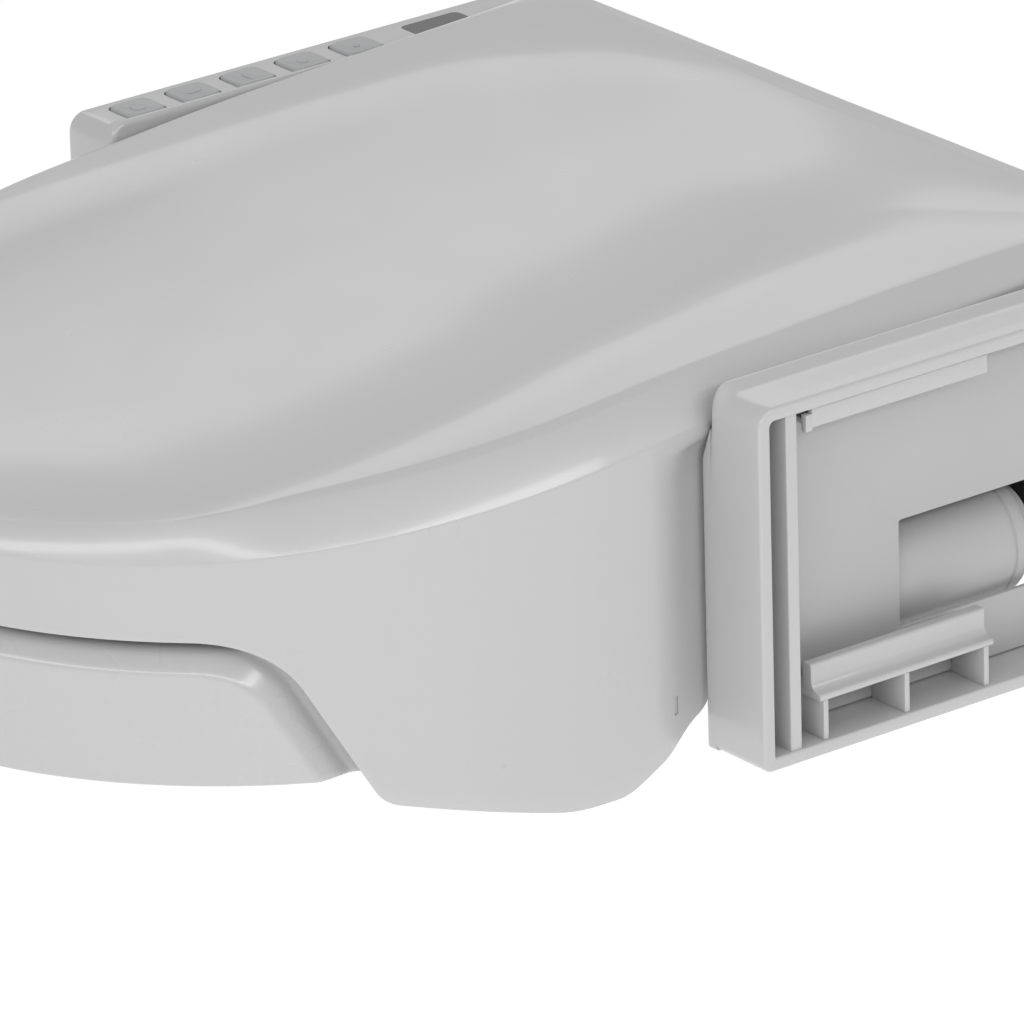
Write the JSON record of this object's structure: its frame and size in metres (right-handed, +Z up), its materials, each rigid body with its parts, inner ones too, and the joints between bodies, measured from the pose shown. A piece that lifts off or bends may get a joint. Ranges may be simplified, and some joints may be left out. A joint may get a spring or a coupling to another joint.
{
  "type": "electric bidet seat",
  "caption": "Electric bidet seat with a dished, deep-eared lid, a heated ring, side wings with an open equipment bay, retracting wash nozzles and an air dryer.",
  "frame": {"origin": "midway between the two fixing slots, on the plane of the bowl's rim that the plate and the seat's bumpers rest on", "axes": "+Z up, -Y towards the front of the bowl, +X towards the wing with the open bay"},
  "size_m": [0.449, 0.511, 0.173],
  "materials": {
    "shell_plastic": "satin gloss light grey ABS",
    "grey_plastic": "fine matt grey",
    "dark_plastic": "matt charcoal",
    "circuit_board": "green solder mask",
    "steel": "brushed",
    "rubber": "matt grey rubber",
    "heater_foil": "etched foil",
    "strainer_mesh": "ivory"
  },
  "bodies": {
    "unit": {"base_chassis": "shell_plastic", "top_cover": "shell_plastic", "front_panel": "grey_plastic", "hinge_brackets": "shell_plastic", "hinge_shafts": "steel", "seat_damper": "dark_plastic", "lid_damper": "dark_plastic", "bay_wing_shell": "shell_plastic", "bay_inner_panel": "shell_plastic", "bay_top_clip_rail": "shell_plastic", "bay_bottom_shelf": "shell_plastic", "deodorizer_canister": "grey_plastic", "control_wing_shell": "shell_plastic", "control_wing_cover": "shell_plastic", "control_pcb": "circuit_board", "status_window": "dark_plastic", "main_pcb": "circuit_board", "power_supply": "dark_plastic", "water_tank": "grey_plastic", "tank_heater": "steel", "inlet_valve": "dark_plastic", "inlet_spigot": "steel", "inlet_strainer": "strainer_mesh", "flow_diverter": "grey_plastic", "nozzle_guide": "grey_plastic", "nozzle_motors": "dark_plastic", "blower_housing": "grey_plastic", "blower_motor": "dark_plastic", "mounting_plate": "steel", "plate_pads": "rubber", "cord_gland": "dark_plastic", "case_screws": "steel"},
    "seat": {"seat_top_shell": "shell_plastic", "seat_bottom_shell": "shell_plastic", "seat_heater_film": "heater_foil", "seat_hinge_arms": "shell_plastic", "seat_bumpers": "rubber", "occupancy_sensor": "circuit_board"},
    "lid": {"lid_shell": "shell_plastic", "lid_liner": "shell_plastic", "lid_hinge_lugs": "shell_plastic", "lid_bumpers": "rubber"},
    "rear_nozzle": {"rear_wash_nozzle": "shell_plastic"},
    "front_nozzle": {"front_wash_nozzle": "shell_plastic"},
    "impeller": {"blower_impeller": "dark_plastic"},
    "flap": {"dryer_flap": "shell_plastic"},
    "release": {"release_button": "grey_plastic"},
    "stop_key": {"stop_button": "grey_plastic"},
    "rear_wash_key": {"rear_wash_button": "grey_plastic"},
    "front_wash_key": {"front_wash_button": "grey_plastic"},
    "dry_key": {"dry_button": "grey_plastic"},
    "eco_key": {"eco_button": "grey_plastic"}
  },
  "joints": [
    {"name": "seat_hinge", "type": "hinge", "parent": "unit", "child": "seat", "pos_m": [0, 0.048, 0.124], "axis": [1, 0, 0], "range_deg": [-95, 0]},
    {"name": "lid_hinge", "type": "hinge", "parent": "seat", "child": "lid", "pos_m": [0, 0.048, 0.124], "axis": [-1, 0, 0], "range_deg": [0, 105]},
    {"name": "rear_nozzle_slide", "type": "slide", "parent": "unit", "child": "rear_nozzle", "axis": [0, -0.8829, -0.4695], "range_m": [0, 0.1]},
    {"name": "front_nozzle_slide", "type": "slide", "parent": "unit", "child": "front_nozzle", "axis": [0, -0.8829, -0.4695], "range_m": [0, 0.1]},
    {"name": "impeller_spin", "type": "hinge", "parent": "unit", "child": "impeller", "pos_m": [-0.137, -0.046, 0.03], "axis": [0, 0, 1], "continuous": true},
    {"name": "flap_hinge", "type": "hinge", "parent": "unit", "child": "flap", "pos_m": [-0.083, -0.0836, 0.038], "axis": [-1, 0, 0], "range_deg": [0, 60]},
    {"name": "release_press", "type": "slide", "parent": "unit", "child": "release", "axis": [1, 0, 0], "range_m": [0, 0.003], "stiffness_N_per_m": 600},
    {"name": "stop_press", "type": "slide", "parent": "unit", "child": "stop_key", "axis": [0, 0, -1], "range_m": [0, 0.0015], "stiffness_N_per_m": 400, "springref_m": -0.0003},
    {"name": "rear_wash_press", "type": "slide", "parent": "unit", "child": "rear_wash_key", "axis": [0, 0, -1], "range_m": [0, 0.0015], "stiffness_N_per_m": 400, "springref_m": -0.0003},
    {"name": "front_wash_press", "type": "slide", "parent": "unit", "child": "front_wash_key", "axis": [0, 0, -1], "range_m": [0, 0.0015], "stiffness_N_per_m": 400, "springref_m": -0.0003},
    {"name": "dry_press", "type": "slide", "parent": "unit", "child": "dry_key", "axis": [0, 0, -1], "range_m": [0, 0.0015], "stiffness_N_per_m": 400, "springref_m": -0.0003},
    {"name": "eco_press", "type": "slide", "parent": "unit", "child": "eco_key", "axis": [0, 0, -1], "range_m": [0, 0.0015], "stiffness_N_per_m": 400, "springref_m": -0.0003}
  ]
}
